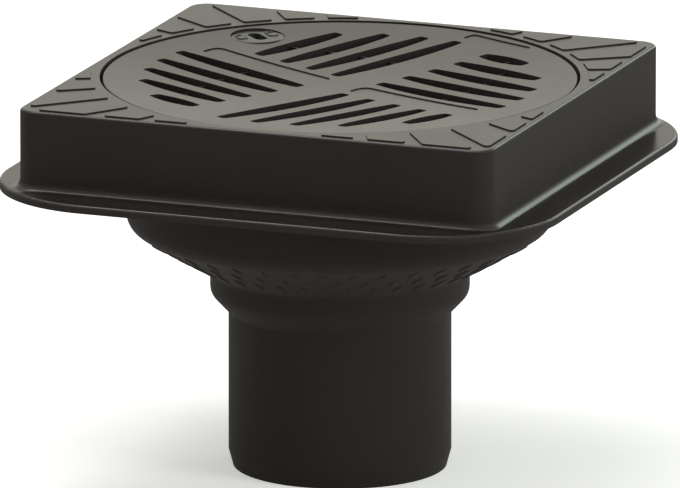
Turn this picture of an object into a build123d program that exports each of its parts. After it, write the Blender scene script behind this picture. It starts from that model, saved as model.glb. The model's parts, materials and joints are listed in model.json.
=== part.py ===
from build123d import *
import os
from math import cos, hypot, radians, sin, sqrt, tan

# Yard gully with a locking grate and a lift-out bell trap.
# Millimetres, Z up, origin at the centre of the end face of the outlet spigot.

# Outlet spigot, which pushes into the socket of a drain pipe
spigot_d = 110.0
spigot_wall = 3.8
spigot_len = 78.2
spigot_lead = 8.0
spigot_lead_angle = 15.0

# Collar above the spigot, which holds the trap
collar_step = 9.0
collar_rise = 9.6
collar_wall = 4.5
collar_h = 11.1
collar_round = 7.0
collar_root = 3.0
seal_ledge_up = 7.8

# Bowl
bowl_d = 210.4
bowl_wall = 5.0
bowl_h = 29.4
cone_angle = 30.1
shoulder_round = 8.0

# Flange and square frame
flange_w = 20.0
flange_t = 4.0
flange_corner = 62.5
flange_round = 1.8
frame_h = 39.8
frame_corner = 10.0
frame_round = 1.6
frame_wall = 5.0
frame_root = 5.0

# Seat of the grate inside the frame
throat_step = 0.8
seat_w = 12.2
seat_depth = 17.0
ledge_t = 7.0
recess_wall = 5.3
frame_roof = 6.0
funnel_h = 6.0

# Raised pads on the frame's corners, parted by radial channels, and the ribs under them
pad_h = 0.6
pad_border = 3.7
pad_clear = 4.3
pad_gap = 6.6
pad_round = 2.0
pad_angle = 10.0
pads_each_side = 3
rib_t = 3.0
rib_angles = (-20.0, 0.0, 20.0)

# Grate
grate_gap = 1.4
grate_drop = 0.5
dish_depth = 4.1
plate_t = 6.0
skirt_t = 4.0
rim_round = 0.8
ring_rib_gap = 0.6
ring_rib_t = 3.5
rib_depth = 16.0
cross_rib_t = 3.0
cross_rib_at = 7.0

# Slots: four quarters, each turned a right angle from the last
slot_turn = -24.8
slot_pitch = 17.94
slot_first = 15.8
slot_start = 11.2
slot_rim = 17.2
slot_mid_w = 10.6
slot_end_w = 6.0
slot_corner = 2.0
slot_shortest = 20.0
slots_per_quarter = 5

# Ties that cross the slots midway, below the grate's face
tie_t = 1.6
tie_drop = 2.0

# Bare label fields, sunk into the grate
label_depth = 0.5
label_w = 13.2
label_corner = 4.5
label_start = 11.2
label_len = 81.0
small_label_w = 8.4
small_label_len = 40.8
small_label_rim = 9.0
small_label_shift = 1.1
small_label_corner = 2.5

# Lock
lock_angle = 134.8
lock_inset = 6.0
lock_recess_r = 13.45
lock_recess_wall = 1.8
lock_head_t = 11.5
lock_floor_t = 3.0
lock_face_drop = 0.2
lock_play = 0.2
lock_side_gap = 0.25
lock_shaft_r = 5.0
lock_fit = 0.05
lock_boss_wall = 3.2
lock_square = 6.9
lock_square_fit = 0.05
lock_notch_gap = 0.7
key_len = 14.6
key_w = 6.5
key_depth = 9.5
head_chamfer = 0.3
o_ring_section = 1.6
o_ring_groove = 2.2
o_ring_drop = 8.0

# Latch arm, its screw, and the keeper under the seat
latch_w = 7.2
latch_t = 5.0
latch_reach = 15.3
latch_gap = 0.6
keeper_gap = 0.8
keeper_drop = 2.4
keeper_wall = 4.0
washer_d = 9.0
washer_t = 0.8
screw_d = 3.9
screw_len = 12.0
screw_fit = 0.02
screw_head_d = 7.6
screw_head_h = 2.6
screw_slot_w = 1.2
screw_slot_len = 4.4
screw_slot_depth = 1.4

# Trap
seal_t = 3.0
seal_gap = 0.2
seal_lap = 6.8
cup_flange_gap = 0.6
cup_flange_t = 3.5
cup_pipe_gap = 2.6
cup_wall = 2.2
cup_depth = 59.0
cup_round = 6.0
upstand_wall = 2.5
water_gap = 10.4
bell_wall = 2.0
bell_inner_gap = 9.5
water_seal = 50.0
bell_floor_gap = 3.8
bell_head = 16.0
bell_round = 16.0
fin_t = 2.4
fin_lap = 4.5
fin_down = 16.0
fin_fit = 0.4
grip_r = 17.0
grip_section = 6.0
grip_w = 7.0
grip_sink = 1.2

# Radii and heights that follow from the sizes above
spigot_r = spigot_d / 2
pipe_bore_r = spigot_r - spigot_wall
collar_r = spigot_r + collar_step
seal_bore_r = collar_r - collar_wall
collar_z = spigot_len + collar_rise
cone_z = collar_z + collar_h
bowl_r = bowl_d / 2
bowl_in_r = bowl_r - bowl_wall
cone_rise = tan(radians(cone_angle))
shoulder_z = cone_z + (bowl_r - collar_r) * cone_rise
flange_z = shoulder_z + bowl_h
flange_top = flange_z + flange_t
border_z = flange_top + frame_h
throat_r = bowl_r + throat_step
recess_r = throat_r + seat_w
frame_half = recess_r + recess_wall
frame_side = 2 * frame_half
flange_side = frame_side + 2 * flange_w
seat_z = border_z - seat_depth
ledge_z = seat_z - ledge_t
seal_z = spigot_len + seal_ledge_up

grate_r = recess_r - grate_gap
rim_z = border_z - grate_drop
dish_z = rim_z - dish_depth
dish_r = (grate_r**2 + dish_depth**2) / (2 * dish_depth)
ring_rib_r = throat_r - ring_rib_gap
rib_z = dish_z - rib_depth
slot_r = grate_r - slot_rim

lock_r = throat_r - lock_inset
lock_hub_r = lock_shaft_r + lock_fit + lock_boss_wall
lock_boss_r = lock_recess_r + lock_recess_wall
lock_face_z = dish_z + dish_r - sqrt(dish_r**2 - lock_r**2) - lock_face_drop
lock_head_z = lock_face_z - lock_head_t
lock_floor_z = lock_head_z - lock_play
latch_top = ledge_z - latch_gap
latch_z = latch_top - latch_t
boss_z = latch_top + lock_play
keeper_r = hypot(latch_reach, latch_w / 2) + keeper_gap
keeper_z = latch_z - keeper_drop
lock_place = Rot(0, 0, lock_angle) * Pos(lock_r, 0, 0)
tongue_place = Rot(0, 0, lock_angle + 180) * Pos(lock_r, 0, 0)

cup_flange_z = seal_z + seal_t
cup_top = cup_flange_z + cup_flange_t
cup_z = cup_flange_z - cup_depth
cup_r = pipe_bore_r - cup_pipe_gap
cup_in_r = cup_r - cup_wall
bell_r = cup_in_r - water_gap
bell_in_r = bell_r - bell_wall
upstand_r = bell_in_r - bell_inner_gap
upstand_bore_r = upstand_r - upstand_wall
bell_z = cup_z + cup_wall + bell_floor_gap
upstand_z = bell_z + water_seal
bell_top = upstand_z + bell_head + bell_wall


def outline(*points):
    """A closed outline from (radius, height) points; a third value rounds that corner."""
    face = make_face(Polyline(*[(point[0], point[1]) for point in points], close=True))
    for point in points:
        if len(point) == 3:
            corner = face.vertices().sort_by_distance((point[0], point[1]))[0]
            face = fillet(corner, point[2])
    return face


def turned(*points):
    """A body of revolution about Z from an outline of (radius, height) points."""
    return revolve(Plane.XZ * outline(*points), Axis.Z)


def prism(sketch, bottom, top):
    """A flat sketch carried upright from one height to another."""
    return extrude(Pos(0, 0, bottom) * sketch, top - bottom)


def radial_strip(angle, width):
    """A strip of some width that runs outwards from the axis."""
    return Rot(0, 0, angle) * Pos(flange_side / 2, 0) * Rectangle(flange_side, width)


def pad_outline(field, angle):
    """The piece of a field between two channels, with its corners rounded as far as its sides allow."""
    spread = flange_side * tan(radians(pad_angle))
    wedge = make_face(Polyline((0, 0), (flange_side, 0), (flange_side, spread), close=True))
    channels = radial_strip(angle, pad_gap) + radial_strip(angle + pad_angle, pad_gap)
    pad = (field & Rot(0, 0, angle) * wedge) - channels
    shortest = min(edge.length for edge in pad.edges())
    return fillet(pad.vertices(), min(pad_round, 0.4 * shortest))


def frame_pads():
    """Raised pads on the frame's corners, the same number on each side of each diagonal."""
    field_side = frame_side - 2 * pad_border
    field = Rectangle(field_side, field_side) - Circle(recess_r + pad_clear)
    pads = Sketch()
    for corner in range(4):
        for number in range(-pads_each_side, pads_each_side):
            pads += pad_outline(field, 45 + 90 * corner + number * pad_angle)
    return prism(pads, border_z, border_z + pad_h)


def frame_cores():
    """Hollows under the frame, open from below, that leave its walls, ribs and keeper blocks."""
    inner_side = frame_side - 2 * frame_wall
    inside = RectangleRounded(inner_side, inner_side, frame_corner - frame_wall)
    block = Circle(keeper_r + keeper_wall)
    keeper_blocks = lock_place * block + tongue_place * block
    ribs = Sketch()
    for corner in range(4):
        for angle in rib_angles:
            ribs += radial_strip(45 + 90 * corner + angle, rib_t)
    under_ledge = inside - Circle(throat_r + bowl_wall) - ribs - keeper_blocks
    corners = inside - Circle(recess_r + bowl_wall) - ribs - keeper_blocks
    return prism(under_ledge, flange_z, ledge_z) + prism(corners, flange_z, border_z - frame_roof)


def keepers():
    """Undercuts below the seat for the latch arm and the tongue, and a notch in it for the lock's hub."""
    undercut = prism(Circle(keeper_r), keeper_z, ledge_z)
    notch = prism(Circle(lock_hub_r + lock_notch_gap), ledge_z, seat_z)
    return lock_place * (undercut + notch) + tongue_place * undercut


def gully_body():
    """Frame, flange, bowl, collar and spigot, moulded as one piece."""
    lead_in = spigot_lead * tan(radians(spigot_lead_angle))
    outside = turned(
        (0, 0),
        (spigot_r - lead_in, 0),
        (spigot_r, spigot_lead),
        (spigot_r, spigot_len),
        (collar_r, collar_z, collar_round),
        (collar_r, cone_z, collar_root),
        (bowl_r, shoulder_z, shoulder_round),
        (bowl_r, flange_top),
        (0, flange_top),
    )
    flange = prism(RectangleRounded(flange_side, flange_side, flange_corner), flange_z, flange_top)
    flange = fillet(flange.edges().group_by(Axis.Z)[-1], flange_round)
    frame = prism(RectangleRounded(frame_side, frame_side, frame_corner), flange_z, border_z)
    frame = fillet(frame.edges().group_by(Axis.Z)[-1], frame_round)
    shell = flange + frame
    shell = fillet(new_edges(flange, frame, combined=shell), frame_root)

    # The cone's inner face lies one bowl wall away from the outer one
    cone_shift = bowl_wall / cos(radians(cone_angle))
    inner_cone_z = cone_z + cone_shift - (collar_r - seal_bore_r) * cone_rise
    inner_shoulder_z = shoulder_z + cone_shift - (bowl_r - bowl_in_r) * cone_rise
    inside = turned(
        (0, 0),
        (pipe_bore_r, 0),
        (pipe_bore_r, seal_z),
        (seal_bore_r, seal_z),
        (seal_bore_r, inner_cone_z),
        (bowl_in_r, inner_shoulder_z, shoulder_round - bowl_wall),
        (bowl_in_r, keeper_z - funnel_h),
        (throat_r, keeper_z),
        (throat_r, seat_z),
        (recess_r, seat_z),
        (recess_r, border_z),
        (0, border_z),
    )
    return outside + shell + frame_pads() - inside - frame_cores() - keepers()


def dish_height(radius, drop):
    """Height of the grate's dished face at a radius, or of a face that lies a drop below it."""
    return dish_z - drop + dish_r - sqrt(dish_r**2 - radius**2)


def dish_line(radius, drop):
    """The dish's arc from the axis out to a radius, a drop below the top face."""
    middle = radius / 2
    return ThreePointArc(
        (0, dish_height(0, drop)),
        (middle, dish_height(middle, drop)),
        (radius, dish_height(radius, drop)),
    )


def above_dish(drop):
    """The space over the grate's dished face, or over a face that lies a drop below it."""
    walls = Polyline(
        (grate_r, dish_height(grate_r, drop)),
        (grate_r, border_z),
        (0, border_z),
        (0, dish_height(0, drop)),
    )
    return revolve(Plane.XZ * make_face(dish_line(grate_r, drop) + walls), Axis.Z)


def grate_blank():
    """Dished plate with the skirt that stands on the seat, and a ring rib inside the throat."""
    skirt_in_r = grate_r - skirt_t
    ring_in_r = ring_rib_r - ring_rib_t
    walls = Polyline(
        (grate_r, rim_z),
        (grate_r, seat_z),
        (skirt_in_r, seat_z),
        (skirt_in_r, dish_height(skirt_in_r, plate_t)),
    )
    axis_line = Line((0, dish_height(0, plate_t)), (0, dish_height(0, 0)))
    face = make_face(dish_line(grate_r, 0) + walls + dish_line(skirt_in_r, plate_t) + axis_line)
    face = fillet(face.vertices().sort_by_distance((grate_r, rim_z))[0], rim_round)
    ring = turned((ring_in_r, rib_z), (ring_rib_r, rib_z), (ring_rib_r, dish_z), (ring_in_r, dish_z))
    return revolve(Plane.XZ * face, Axis.Z) + ring


def cross_ribs():
    """Two ribs under each arm of the plain cross between the slots."""
    length = 2 * sqrt((ring_rib_r - ring_rib_t / 2) ** 2 - cross_rib_at**2)
    ribs = Sketch()
    for quarter in range(4):
        ribs += Rot(0, 0, slot_turn + 90 * quarter) * Pos(0, cross_rib_at) * Rectangle(length, cross_rib_t)
    return prism(ribs, rib_z, dish_z - plate_t / 2)


def slot_outline(start, end, across):
    """A lens: two arcs that swell to the slot's full width midway between its square ends."""
    middle = (start + end) / 2
    low_end = across - slot_end_w / 2
    high_end = across + slot_end_w / 2
    sides = (
        Line((start, low_end), (start, high_end))
        + ThreePointArc((start, high_end), (middle, across + slot_mid_w / 2), (end, high_end))
        + Line((end, high_end), (end, low_end))
        + ThreePointArc((end, low_end), (middle, across - slot_mid_w / 2), (start, low_end))
    )
    lens = make_face(sides)
    return fillet(lens.vertices(), slot_corner)


def clear_of_lock(quarter, start, end, across):
    """Whether a slot of a quarter leaves the wall round the lock whole."""
    turn = radians(lock_angle - slot_turn - 90 * quarter)
    along = lock_r * cos(turn)
    nearest = min(max(along, start), end)
    return hypot(along - nearest, lock_r * sin(turn) - across) > lock_boss_r + slot_mid_w / 2


def grate_slots():
    """Rows of slots in four quarters, their outer corners on one circle, with room left for the lock.
    A low tie is left across each slot midway, to hold its bars together."""
    slots = Sketch()
    ties = Sketch()
    for quarter in range(4):
        turn = Rot(0, 0, slot_turn + 90 * quarter)
        for number in range(slots_per_quarter):
            across = slot_first + number * slot_pitch
            end = sqrt(max(slot_r**2 - (across + slot_end_w / 2) ** 2, 0))
            if end - slot_start > slot_shortest and clear_of_lock(quarter, slot_start, end, across):
                slots += turn * slot_outline(slot_start, end, across)
                ties += turn * Pos((slot_start + end) / 2, across) * Rectangle(tie_t, slot_mid_w + tie_t)
    low_ties = prism(ties, rib_z, border_z) - above_dish(tie_drop)
    return prism(slots, rib_z, border_z) - low_ties


def label_fields():
    """Shallow bare fields that follow the dish: two along a diameter, a short one at the rim."""
    middle = label_start + label_len / 2
    long_field = RectangleRounded(label_len, label_w, label_corner)
    short_field = RectangleRounded(small_label_len, small_label_w, small_label_corner)
    fields = Pos(middle, 0) * long_field
    fields += Pos(-middle, 0) * long_field
    fields += Pos(small_label_shift, grate_r - small_label_rim) * short_field
    return (Rot(0, 0, slot_turn) * prism(fields, dish_z - plate_t, border_z)) & above_dish(label_depth)


def tongue():
    """Fixed hook across from the lock, which goes under the seat first."""
    ring_in = ring_rib_r - ring_rib_t - lock_r
    ring_out = ring_rib_r - lock_r
    leg = Pos((ring_in + ring_out) / 2, 0) * Rectangle(ring_out - ring_in, latch_w)
    foot = Pos((ring_in + latch_reach) / 2, 0) * Rectangle(latch_reach - ring_in, latch_w)
    return tongue_place * (prism(leg, latch_z, dish_z) + prism(foot, latch_z, latch_top))


def cover_grate():
    """Dished cover with its slots, label fields, lock boss and fixed tongue, moulded as one piece."""
    grate = grate_blank() + cross_ribs() - grate_slots() - label_fields()
    boss_top = dish_height(lock_r - lock_boss_r, plate_t / 2)
    boss = prism(Circle(lock_boss_r), lock_floor_z - lock_floor_t, boss_top)
    boss += prism(Circle(lock_hub_r), boss_z, lock_floor_z)
    hollow = prism(Circle(lock_recess_r), lock_floor_z, border_z)
    hollow += prism(Circle(lock_shaft_r + lock_fit), boss_z, border_z)
    return grate + tongue() + lock_place * boss - lock_place * hollow


def lock_plug():
    """Turning head with its keyhole, on a shaft that ends in a square for the latch arm."""
    groove_z = lock_floor_z - o_ring_drop
    square_z = latch_z + lock_play
    head = prism(Circle(lock_recess_r - lock_side_gap), lock_head_z, lock_face_z)
    head = chamfer(head.edges().group_by(Axis.Z)[-1], head_chamfer)
    keyhole = prism(SlotOverall(key_len, key_w), lock_face_z - key_depth, lock_face_z)
    shaft = prism(Circle(lock_shaft_r), latch_top, lock_head_z)
    square = prism(Rectangle(lock_square, lock_square), square_z, latch_top)
    groove_ring = Circle(lock_shaft_r) - Circle(lock_shaft_r - o_ring_section)
    groove = prism(groove_ring, groove_z - o_ring_groove / 2, groove_z + o_ring_groove / 2)
    pilot = prism(Circle(screw_d / 2 + screw_fit), square_z, latch_z - washer_t + screw_len)
    return lock_place * (head - keyhole + shaft + square - groove - pilot)


def lock_o_ring():
    """Rubber ring in the groove of the shaft."""
    ring_r = lock_shaft_r - o_ring_section / 2
    return lock_place * Pos(0, 0, lock_floor_z - o_ring_drop) * Torus(ring_r, o_ring_section / 2)


def latch_arm():
    """Flat arm with a round hub and a square hole; it points outwards when locked."""
    tip = Pos(latch_reach / 2, 0) * Rectangle(latch_reach, latch_w)
    hole = lock_square + 2 * lock_square_fit
    return lock_place * prism(Circle(lock_hub_r) + tip - Rectangle(hole, hole), latch_z, latch_top)


def latch_washer():
    """Washer between the screw's head and the arm."""
    ring = Circle(washer_d / 2) - Circle(screw_d / 2 + screw_fit)
    return lock_place * prism(ring, latch_z - washer_t, latch_z)


def latch_screw():
    """Cross-slotted screw, head down, up into the plug."""
    head_top = latch_z - washer_t
    head_z = head_top - screw_head_h
    head = prism(Circle(screw_head_d / 2), head_z, head_top)
    head = fillet(head.edges().group_by(Axis.Z)[0], screw_head_h / 2)
    shank = prism(Circle(screw_d / 2), head_top, head_top + screw_len)
    cross = Rectangle(screw_slot_len, screw_slot_w) + Rectangle(screw_slot_w, screw_slot_len)
    return lock_place * (head + shank - prism(cross, head_z, head_z + screw_slot_depth))


def trap_seal():
    """Flat ring on the ledge above the spigot, under the cup's flange."""
    outer = seal_bore_r - seal_gap
    return turned(
        (outer - seal_lap, seal_z),
        (outer, seal_z),
        (outer, cup_flange_z),
        (outer - seal_lap, cup_flange_z),
    )


def trap_cup():
    """Water cup that hangs in the spigot by its flange, with an open upstand in its middle."""
    flange_r = seal_bore_r - cup_flange_gap
    floor_z = cup_z + cup_wall
    return turned(
        (upstand_bore_r, cup_z),
        (cup_r, cup_z, cup_round),
        (cup_r, cup_flange_z),
        (flange_r, cup_flange_z),
        (flange_r, cup_top),
        (cup_in_r, cup_top),
        (cup_in_r, floor_z, cup_round - cup_wall),
        (upstand_r, floor_z),
        (upstand_r, upstand_z),
        (upstand_bore_r, upstand_z),
    )


def bell_form(inset):
    """The bell as a solid, drawn in from its outer face by an inset."""
    side = bell_r - inset
    top = bell_top - inset
    return turned((0, bell_z), (side, bell_z), (side, top, bell_round - inset), (0, top))


def trap_bell():
    """Bell over the upstand: its fins stand on the upstand's rim and centre it, and a grip lifts it out."""
    plates = Rectangle(2 * bell_r, fin_t) + Rectangle(fin_t, 2 * bell_r)
    fins = prism(plates - Circle(upstand_r - fin_lap), upstand_z, bell_top)
    fins += prism(plates - Circle(upstand_r + fin_fit), upstand_z - fin_down, upstand_z)
    fins &= bell_form(bell_wall / 2)
    arch = Circle(grip_r) - Circle(grip_r - grip_section)
    arch &= Pos(0, (grip_r - grip_sink) / 2) * Rectangle(2 * grip_r, grip_r + grip_sink)
    grip = extrude(Plane.XZ * Pos(0, bell_top) * arch, grip_w / 2, both=True)
    return bell_form(0) - bell_form(bell_wall) + fins + grip


sub_parts = (
    gully_body,
    cover_grate,
    lock_plug,
    lock_o_ring,
    latch_arm,
    latch_washer,
    latch_screw,
    trap_seal,
    trap_cup,
    trap_bell,
)

os.makedirs("parts", exist_ok=True)
for make in sub_parts:
    export_step(make(), f"parts/{make.__name__}.step")
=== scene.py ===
"""Looks of a yard gully: its moulded plastics, rubber and steel, the grip pattern under the bowl, the signs
on the lock, and a pale studio with the camera a little above the rim. Metres throughout, Z up."""
import json
import math

import bpy
import numpy as np
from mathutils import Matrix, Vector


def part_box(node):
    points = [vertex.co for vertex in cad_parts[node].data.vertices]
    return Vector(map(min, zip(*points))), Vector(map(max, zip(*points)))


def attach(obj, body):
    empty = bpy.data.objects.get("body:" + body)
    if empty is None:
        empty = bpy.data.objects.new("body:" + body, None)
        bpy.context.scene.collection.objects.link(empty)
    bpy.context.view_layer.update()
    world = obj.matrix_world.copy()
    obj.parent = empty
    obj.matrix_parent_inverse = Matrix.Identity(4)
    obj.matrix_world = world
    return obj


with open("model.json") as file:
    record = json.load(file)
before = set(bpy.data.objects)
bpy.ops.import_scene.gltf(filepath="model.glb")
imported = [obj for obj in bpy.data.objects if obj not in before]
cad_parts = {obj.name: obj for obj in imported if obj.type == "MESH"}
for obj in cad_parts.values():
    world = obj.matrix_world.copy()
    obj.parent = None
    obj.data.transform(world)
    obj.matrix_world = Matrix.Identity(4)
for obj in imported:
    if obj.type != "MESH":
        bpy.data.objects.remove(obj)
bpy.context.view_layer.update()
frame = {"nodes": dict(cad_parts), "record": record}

MM = 0.001

# Camera: the photograph is a nearly parallel view, so a long lens stands far off
PHOTO_WIDTH_PX = 680
PX_PER_MM = 2.0314
VIEW_AZIMUTH = 20.705
VIEW_ELEVATION = 13.943
AIM_HEIGHT = 110.91 * MM
LENS_MM = 1150.0
SENSOR_MM = 36.0

# Moulded finishes: how far a face looks up, as its normal's Z, where dull walls end and smooth tops begin,
# the clouds that shift colour and gloss, and how strong the grain is on walls and on tops
WALL_UP = 0.35
TOP_UP = 0.75
CLOUD_SIZE = 45.0 * MM
CLOUD_DETAIL = 4.0
CLOUD_SPAN = (0.3, 0.7)
GLOSS_SHIFT = 0.03
WALL_GRAIN = 0.8
TOP_GRAIN = 0.1
GRAIN_DETAIL = 2.0

# Turned steel: its rings, the wave texture's rings in one unit at scale 1, and its roughness across a ring
TOOL_RING_PITCH = 0.5 * MM
TOOL_RING_WOBBLE = 1.0
RINGS_IN_UNIT = 20 / math.tau
STEEL_COLOUR = "#B9BBBC"
STEEL_ROUGHNESS = (0.22, 0.42)

# Grip pattern on the cone under the bowl: rows of lozenges, each row half a step round from the last
CONE_RISE_DEG = 30.1
CONE_FOOT_R = 64.0 * MM
CONE_FOOT_Z = 98.9 * MM
LOZENGE_ROWS = 3
LOZENGES_ROUND = 40
LOZENGE_TURN_DEG = 6.7
LOZENGE_FIRST_R = 75.0 * MM
LOZENGE_ROW_STEP = 10.0 * MM
LOZENGE_LENGTH = 12.6 * MM
LOZENGE_WIDTH = 5.0 * MM
LOZENGE_HEIGHT = 0.75 * MM
LOZENGE_LEAN_DEG = 5.0
LOZENGE_SHOULDER = 0.8
LOZENGE_SINK = 0.15 * MM
LOZENGE_RINGS = (1.0, 0.72, 0.4)
LOZENGE_SIDES = 12

# Open and closed padlock signs on the lock's face, either side of its keyhole
SIGN_ACROSS = 8.3 * MM
SIGN_UP = 0.2 * MM
SIGN_HEIGHT = 0.5 * MM
SIGN_SINK = 0.1 * MM
SIGN_BODY = (5.8 * MM, 5.0 * MM)
SIGN_RINGS = (1.0, 0.88)
SIGN_SIDES = 16
SHACKLE_R = 1.75 * MM
SHACKLE_W = 0.9 * MM
SHACKLE_TOP_W = 0.65 * MM
SHACKLE_LEG = 1.2 * MM
SHACKLE_LIFT = 0.9 * MM
SHACKLE_SHORT = 0.3 * MM
SHACKLE_STEPS = 9

# Pieces share a smooth surface up to this angle between their faces
SMOOTH_DEG = 40.0

# Studio: lift is the floor's own light, sky light is what falls on the object and sky seen what mirrors in it
FLOOR_HALF = 6.0
FLOOR_LIFT = 0.42
FLOOR_COLOUR = "#E4E4E4"
SKY_LIGHT = 0.5
SKY_SEEN = 0.92
SKY_COLOUR = "#FFFEEF"
# Name, place, width and height, watts and colour of each soft box
SOFT_BOXES = (
    ("right_box", (2.2, -0.5, 1.0), (0.9, 1.2), 24.0, "#EAF4F2"),
    ("rim_box", (0.55, 1.9, 0.8), (1.0, 0.9), 7.0, "#DDF0EE"),
    ("edge_box", (-0.75, 0.05, 2.0), (0.5, 0.5), 6.0, "#FFFFFF"),
    ("key_box", (-0.35, 0.3, 1.9), (1.5, 1.5), 16.0, "#FFFFFF"),
)


def linear(hex_colour):
    """An sRGB hex colour as linear red, green, blue and alpha."""
    values = [int(hex_colour[i:i + 2], 16) / 255 for i in (1, 3, 5)]
    return [v / 12.92 if v <= 0.04045 else ((v + 0.055) / 1.055) ** 2.4 for v in values] + [1.0]


def add(tree, kind, links=None, inputs=None, **settings):
    """Adds a node: settings are its properties, inputs its fixed sockets, links its sockets fed by others."""
    node = tree.nodes.new(kind)
    for name, value in settings.items():
        setattr(node, name, value)
    for name, value in (inputs or {}).items():
        node.inputs[name].default_value = value
    for name, source in (links or {}).items():
        tree.links.new(source, node.inputs[name])
    return node


def new_material(name):
    """An empty node material and its tree."""
    material = bpy.data.materials.new(name)
    material.use_nodes = True
    material.node_tree.nodes.clear()
    return material, material.node_tree


def moulded(name, dark, light, wall_roughness, top_roughness, ior, grain_size, grain_depth):
    """A moulded surface: walls are dull with a fine spark-eroded grain, faces that look up are smoother, and
    clouds shift colour and gloss a little."""
    material, tree = new_material(name)
    place = add(tree, "ShaderNodeTexCoord").outputs["Object"]
    clouds = add(tree, "ShaderNodeTexNoise", {"Vector": place}, {
        "Scale": 1 / CLOUD_SIZE,
        "Detail": CLOUD_DETAIL,
    })
    colour = add(tree, "ShaderNodeValToRGB", {"Fac": clouds.outputs["Fac"]})
    for stop, position, tone in zip(colour.color_ramp.elements, CLOUD_SPAN, (dark, light)):
        stop.position = position
        stop.color = linear(tone)
    normal = add(tree, "ShaderNodeNewGeometry").outputs["Normal"]
    upward = add(tree, "ShaderNodeSeparateXYZ", {"Vector": normal}).outputs["Z"]
    finish = add(tree, "ShaderNodeMapRange", {"Value": upward}, {
        "From Min": WALL_UP,
        "From Max": TOP_UP,
        "To Min": wall_roughness,
        "To Max": top_roughness,
    })
    shift = add(tree, "ShaderNodeMapRange", {"Value": clouds.outputs["Fac"]}, {
        "From Min": CLOUD_SPAN[0],
        "From Max": CLOUD_SPAN[1],
        "To Min": -GLOSS_SHIFT,
        "To Max": GLOSS_SHIFT,
    })
    terms = {0: finish.outputs["Result"], 1: shift.outputs["Result"]}
    gloss = add(tree, "ShaderNodeMath", terms, operation="ADD")
    grain = add(tree, "ShaderNodeTexNoise", {"Vector": place}, {
        "Scale": 1 / grain_size,
        "Detail": GRAIN_DETAIL,
    })
    relief = add(tree, "ShaderNodeMapRange", {"Value": upward}, {
        "From Min": WALL_UP,
        "From Max": TOP_UP,
        "To Min": WALL_GRAIN,
        "To Max": TOP_GRAIN,
    })
    bump = add(tree, "ShaderNodeBump", {
        "Height": grain.outputs["Fac"],
        "Strength": relief.outputs["Result"],
    }, {"Distance": grain_depth})
    shader = add(tree, "ShaderNodeBsdfPrincipled", {
        "Base Color": colour.outputs["Color"],
        "Roughness": gloss.outputs["Value"],
        "Normal": bump.outputs["Normal"],
    }, {"IOR": ior})
    add(tree, "ShaderNodeOutputMaterial", {"Surface": shader.outputs["BSDF"]})
    return material


def turned_steel(name, axis):
    """Turned stainless steel: rings left by the tool round an axis vary its gloss."""
    material, tree = new_material(name)
    place = add(tree, "ShaderNodeTexCoord").outputs["Object"]
    centred = add(tree, "ShaderNodeMapping", {"Vector": place}, {"Location": (-axis[0], -axis[1], 0.0)})
    rings = add(tree, "ShaderNodeTexWave", {"Vector": centred.outputs["Vector"]}, {
        "Scale": 1 / (RINGS_IN_UNIT * TOOL_RING_PITCH),
        "Distortion": TOOL_RING_WOBBLE,
    }, wave_type="RINGS", rings_direction="Z")
    gloss = add(tree, "ShaderNodeMapRange", {"Value": rings.outputs["Fac"]}, {
        "To Min": STEEL_ROUGHNESS[0],
        "To Max": STEEL_ROUGHNESS[1],
    })
    shader = add(tree, "ShaderNodeBsdfPrincipled", {"Roughness": gloss.outputs["Result"]}, {
        "Base Color": linear(STEEL_COLOUR),
        "Metallic": 1.0,
    })
    add(tree, "ShaderNodeOutputMaterial", {"Surface": shader.outputs["BSDF"]})
    return material


def dress(node, material):
    """Gives a CAD node one material."""
    slots = frame["nodes"][node].data.materials
    slots.clear()
    slots.append(material)


def new_piece(name, points, faces, material, body):
    """A mesh piece from points and faces, which rides on a body."""
    mesh = bpy.data.meshes.new(name)
    mesh.from_pydata(points.reshape(-1, 3).tolist(), [], faces)
    mesh.update()
    mesh.shade_smooth()
    mesh.set_sharp_from_angle(angle=math.radians(SMOOTH_DEG))
    mesh.materials.append(material)
    piece = bpy.data.objects.new(name, mesh)
    bpy.context.scene.collection.objects.link(piece)
    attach(piece, body)


def mound_faces(rings, sides):
    """Faces of a closed mound: quads between its rings, a fan to the point at its top, and a flat base."""
    step = np.arange(sides)
    after = (step + 1) % sides
    low = np.arange(rings - 1)[:, None] * sides
    quads = np.stack([low + step, low + after, low + sides + after, low + sides + step], -1).reshape(-1, 4)
    last = (rings - 1) * sides
    fan = np.stack([last + step, last + after, np.full(sides, rings * sides)], -1)
    return quads, fan, step[None, ::-1]


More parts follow.
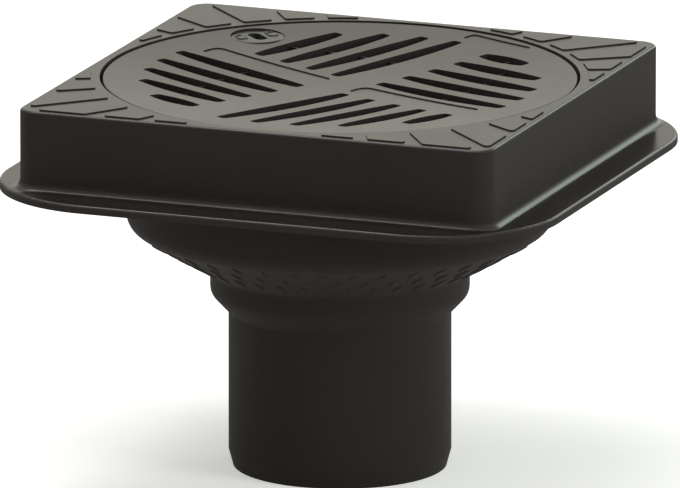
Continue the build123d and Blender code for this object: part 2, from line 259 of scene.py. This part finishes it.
def grip_lozenges(material):
    """Raised lozenges on the cone. One lozenge is a mound of rings round a middle: a ring lies at a share of
    the lozenge's outline, |along| / half length + |across| / half width = share, and stands out from the cone
    by a height that grows inwards. The same mound is laid on the cone at every place of every row, its length
    up the slope and leaning round it."""
    share = np.array(LOZENGE_RINGS)[:, None]
    stand = np.array([-LOZENGE_SINK, LOZENGE_HEIGHT * LOZENGE_SHOULDER, LOZENGE_HEIGHT])
    turn = np.arange(LOZENGE_SIDES) * math.tau / LOZENGE_SIDES
    reach = 1 / (np.abs(np.cos(turn)) + np.abs(np.sin(turn)))
    along = np.append((share * reach * np.cos(turn)).ravel(), 0) * LOZENGE_LENGTH / 2
    across = np.append((share * reach * np.sin(turn)).ravel(), 0) * LOZENGE_WIDTH / 2
    out = np.append(np.repeat(stand, LOZENGE_SIDES), LOZENGE_HEIGHT)

    row, number = np.meshgrid(np.arange(LOZENGE_ROWS), np.arange(LOZENGES_ROUND), indexing="ij")
    row, number = row.reshape(-1, 1), number.reshape(-1, 1)
    middle_r = LOZENGE_FIRST_R + row * LOZENGE_ROW_STEP
    first = math.radians(LOZENGE_TURN_DEG)
    lean = math.radians(LOZENGE_LEAN_DEG)
    round_by = along * math.sin(lean) + across * math.cos(lean)
    up_by = along * math.cos(lean) - across * math.sin(lean)
    angle = first + (number - row % 2 / 2) * math.tau / LOZENGES_ROUND + round_by / middle_r
    rise = math.radians(CONE_RISE_DEG)
    middle_z = CONE_FOOT_Z + (middle_r - CONE_FOOT_R) * math.tan(rise)
    radius = middle_r + up_by * math.cos(rise) + out * math.sin(rise)
    height = middle_z + up_by * math.sin(rise) - out * math.cos(rise)
    points = np.stack([radius * np.cos(angle), radius * np.sin(angle), height], axis=-1)

    # The mound looks down and out, so its faces run the other way round
    shift = np.arange(LOZENGE_ROWS * LOZENGES_ROUND)[:, None, None] * len(along)
    faces = []
    for kind in mound_faces(len(LOZENGE_RINGS), LOZENGE_SIDES):
        faces += (kind[:, ::-1] + shift).reshape(-1, kind.shape[1]).tolist()
    new_piece("grip_lozenges", points, faces, material, "gully")


def lock_signs(material, axis):
    """Raised padlock signs on the lock's face, closed on the left of the keyhole and open on the right. A
    body is a mound inside |x / half width|^4 + |y / half height|^4 = 1. A shackle is a four-sided section
    carried along a path that runs up one leg, over half a circle and down the other leg, which ends short on
    the open sign's raised shackle. Both are laid on the face, upright along the radius to the lock."""
    turn = np.arange(SIGN_SIDES) * math.tau / SIGN_SIDES
    reach = (np.cos(turn) ** 4 + np.sin(turn) ** 4) ** -0.25
    share = np.array(SIGN_RINGS)[:, None]
    body_x = np.append((share * reach * np.cos(turn)).ravel(), 0) * SIGN_BODY[0] / 2
    body_y = np.append((share * reach * np.sin(turn)).ravel(), 0) * SIGN_BODY[1] / 2
    body_z = np.append(np.repeat([-SIGN_SINK, SIGN_HEIGHT], SIGN_SIDES), SIGN_HEIGHT)
    body_faces = mound_faces(len(SIGN_RINGS), SIGN_SIDES)

    across = np.array([-SHACKLE_W, -SHACKLE_TOP_W, SHACKLE_TOP_W, SHACKLE_W]) / 2
    stand = np.array([-SIGN_SINK, SIGN_HEIGHT, SIGN_HEIGHT, -SIGN_SINK])
    bend = np.linspace(math.pi, 0, SHACKLE_STEPS)
    corner = np.arange(4)
    after = (corner + 1) % 4
    steps = np.arange(SHACKLE_STEPS + 1)[:, None] * 4
    band = np.stack([steps + corner, steps + 4 + corner, steps + 4 + after, steps + after], -1).reshape(-1, 4)
    ends = np.array([corner, corner[::-1] + (SHACKLE_STEPS + 1) * 4])
    shackle_faces = (band, ends)

    face_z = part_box("lock_plug")[1][2]
    upward = np.array(axis) / math.hypot(*axis)
    rightward = np.array([upward[1], -upward[0]])

    points, faces, count = [], [], 0
    for side, lift in ((-1, 0.0), (1, SHACKLE_LIFT)):
        top_y = SIGN_BODY[1] / 2 + SHACKLE_LEG + lift
        end_y = top_y - SHACKLE_SHORT if lift else 0
        path_x = np.concatenate([[-SHACKLE_R], SHACKLE_R * np.cos(bend), [SHACKLE_R]])
        path_y = np.concatenate([[0], top_y + SHACKLE_R * np.sin(bend), [end_y]])
        way_x, way_y = np.gradient(path_x), np.gradient(path_y)
        length = np.hypot(way_x, way_y)
        band_x = (path_x[:, None] + across * (way_y / length)[:, None]).ravel()
        band_y = (path_y[:, None] - across * (way_x / length)[:, None]).ravel()
        band_z = np.tile(stand, len(path_x))
        for x, y, z, kinds in ((body_x, body_y, body_z, body_faces), (band_x, band_y, band_z, shackle_faces)):
            flat = (side * SIGN_ACROSS + x)[:, None] * rightward + (SIGN_UP + y)[:, None] * upward
            points.append(np.column_stack([flat + axis, face_z + z]))
            faces += [face for kind in kinds for face in (kind + count).tolist()]
            count += len(x)
    new_piece("lock_signs", np.concatenate(points), faces, material, "lock")


def background_rays(tree):
    """One for rays that show the background: the camera's own, mirrored and passed through glass."""
    rays = add(tree, "ShaderNodeLightPath").outputs
    seen = {0: rays["Is Camera Ray"], 1: rays["Is Glossy Ray"]}
    either = add(tree, "ShaderNodeMath", seen, operation="ADD").outputs["Value"]
    passed = {0: either, 1: rays["Is Transmission Ray"]}
    return add(tree, "ShaderNodeMath", passed, operation="ADD").outputs["Value"]


def paper_floor():
    """A flat white paper floor that keeps the object's shadow."""
    mesh = bpy.data.meshes.new("floor")
    corners = [(x * FLOOR_HALF, y * FLOOR_HALF, 0) for x, y in ((-1, -1), (1, -1), (1, 1), (-1, 1))]
    mesh.from_pydata(corners, [], [(0, 1, 2, 3)])
    paper, tree = new_material("white_paper")
    paint = add(tree, "ShaderNodeBsdfDiffuse", inputs={"Color": linear(FLOOR_COLOUR)})
    lift = add(tree, "ShaderNodeMath", {0: background_rays(tree)}, {1: FLOOR_LIFT}, operation="MULTIPLY")
    glow = add(tree, "ShaderNodeEmission", {"Strength": lift.outputs["Value"]})
    both = add(tree, "ShaderNodeAddShader", {0: paint.outputs["BSDF"], 1: glow.outputs["Emission"]})
    add(tree, "ShaderNodeOutputMaterial", {"Surface": both.outputs["Shader"]})
    mesh.materials.append(paper)
    floor = bpy.data.objects.new("floor", mesh)
    bpy.context.scene.collection.objects.link(floor)


def pale_sky():
    """An even, faintly warm sky, dimmer as light on the object than as the background that mirrors in it."""
    world = bpy.data.worlds.new("studio")
    bpy.context.scene.world = world
    world.use_nodes = True
    tree = world.node_tree
    level = add(tree, "ShaderNodeMapRange", {"Value": background_rays(tree)}, {
        "To Min": SKY_LIGHT,
        "To Max": SKY_SEEN,
    })
    background = tree.nodes["Background"]
    background.inputs["Color"].default_value = linear(SKY_COLOUR)
    tree.links.new(level.outputs["Result"], background.inputs["Strength"])


def soft_box(name, place, size, watts, colour):
    """A rectangular lamp turned towards the middle of the object."""
    lamp = bpy.data.lights.new(name, "AREA")
    lamp.shape = "RECTANGLE"
    lamp.size, lamp.size_y = size
    lamp.energy = watts
    lamp.color = linear(colour)[:3]
    holder = bpy.data.objects.new(name, lamp)
    holder.location = place
    x, y, z = place
    drop = z - AIM_HEIGHT
    holder.rotation_euler = (math.atan2(math.hypot(x, y), drop), 0, math.atan2(x, -y))
    holder.visible_camera = False
    bpy.context.scene.collection.objects.link(holder)


def camera():
    """A long lens at the photograph's angle, as far off as makes its picture as wide as the photograph."""
    data = bpy.data.cameras.new("camera")
    data.lens = LENS_MM
    data.sensor_width = SENSOR_MM
    distance = PHOTO_WIDTH_PX / PX_PER_MM * MM * LENS_MM / SENSOR_MM
    data.clip_end = 3 * distance
    holder = bpy.data.objects.new("camera", data)
    azimuth = math.radians(VIEW_AZIMUTH)
    elevation = math.radians(VIEW_ELEVATION)
    level = distance * math.cos(elevation)
    height = AIM_HEIGHT + distance * math.sin(elevation)
    holder.location = (level * math.sin(azimuth), -level * math.cos(azimuth), height)
    holder.rotation_euler = (math.pi / 2 - elevation, 0, azimuth)
    bpy.context.scene.collection.objects.link(holder)
    bpy.context.scene.camera = holder


lock_axis = frame["record"]["behaviour"]["joints"][0]["pos_m"][:2]

# Black polypropylene from a spark-eroded mould: dull dark walls, and flat faces that take a soft sheen at a
# low angle. Its pitted skin mirrors less than a polished one, so its IOR is under polypropylene's 1.49. The
# real grain is about 0.2 mm and is drawn coarser, to show.
body_plastic = moulded(
    "moulded_black_polypropylene", "#231E1E", "#292424",
    wall_roughness=0.9, top_roughness=0.24, ior=1.34, grain_size=1.1 * MM, grain_depth=0.45 * MM)

# Black glass-filled polyamide: the same dull black as the body beside it, with the same sheen on its dish
grate_plastic = moulded(
    "moulded_black_polyamide", "#231E1E", "#292424",
    wall_roughness=0.9, top_roughness=0.24, ior=1.34, grain_size=1.1 * MM, grain_depth=0.45 * MM)

# Dark grey polyamide: a shade lighter and smoother than the grate, so the lock stands out in its recess
lock_plastic = moulded(
    "moulded_dark_grey_polyamide", "#262521", "#2E2D29",
    wall_roughness=0.5, top_roughness=0.24, ior=1.34, grain_size=0.6 * MM, grain_depth=0.06 * MM)

# Natural grey polypropylene: an even satin grey
trap_plastic = moulded(
    "moulded_grey_polypropylene", "#5B5D5E", "#666869",
    wall_roughness=0.4, top_roughness=0.4, ior=1.49, grain_size=0.5 * MM, grain_depth=0.03 * MM)

# EPDM rubber: matt and almost black
seal_rubber = moulded(
    "moulded_epdm_rubber", "#101010", "#171717",
    wall_roughness=0.7, top_roughness=0.7, ior=1.52, grain_size=0.3 * MM, grain_depth=0.05 * MM)

# Stainless steel turned on a lathe: bright, with fine rings that catch the light. The rings are drawn coarser
# than the tool leaves them, to show.
fastener_steel = turned_steel("turned_stainless_steel", lock_axis)

dress("gully_body", body_plastic)
dress("cover_grate", grate_plastic)
dress("lock_plug", lock_plastic)
dress("latch_arm", lock_plastic)
dress("trap_cup", trap_plastic)
dress("trap_bell", trap_plastic)
dress("trap_seal", seal_rubber)
dress("lock_o_ring", seal_rubber)
dress("latch_washer", fastener_steel)
dress("latch_screw", fastener_steel)

grip_lozenges(body_plastic)
lock_signs(lock_plastic, lock_axis)

bpy.context.scene.view_settings.view_transform = "Standard"
paper_floor()
pale_sky()
for box in SOFT_BOXES:
    soft_box(*box)
camera()
